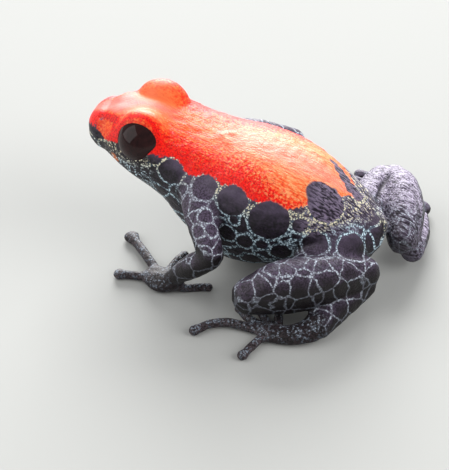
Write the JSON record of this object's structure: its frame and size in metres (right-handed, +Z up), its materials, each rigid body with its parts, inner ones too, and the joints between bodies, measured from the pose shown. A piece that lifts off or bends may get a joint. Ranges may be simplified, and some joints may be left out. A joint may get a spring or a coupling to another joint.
{
  "type": "reticulated poison frog, still model",
  "caption": "Small rain forest frog sitting on its four feet, with a red back, black netted flanks and legs, and dark bulging eyes.",
  "frame": {"origin": "on the floor, under the middle of the frog's bounding box", "axes": "+Z up, the snout points to -Y, the frog's left side is +X"},
  "size_m": [0.018, 0.018, 0.008],
  "materials": {
    "skin": "moist granular skin, red back, black flanks and legs with a pale blue net",
    "eye": "wet, glossy, almost black"
  },
  "bodies": {
    "root": {"eye_left": "eye", "eye_right": "eye", "finger_1_left": "skin", "finger_1_right": "skin", "finger_2_left": "skin", "finger_2_right": "skin", "finger_3_left": "skin", "finger_3_right": "skin", "finger_4_left": "skin", "finger_4_right": "skin", "foot_left": "skin", "foot_right": "skin", "forearm_left": "skin", "forearm_right": "skin", "hand_left": "skin", "hand_right": "skin", "head": "skin", "shank_left": "skin", "shank_right": "skin", "tarsus_left": "skin", "tarsus_right": "skin", "thigh_left": "skin", "thigh_right": "skin", "toe_1_left": "skin", "toe_1_right": "skin", "toe_2_left": "skin", "toe_2_right": "skin", "toe_3_left": "skin", "toe_3_right": "skin", "toe_4_left": "skin", "toe_4_right": "skin", "toe_5_left": "skin", "toe_5_right": "skin", "trunk": "skin", "upper_arm_left": "skin", "upper_arm_right": "skin"}
  },
  "joints": []
}
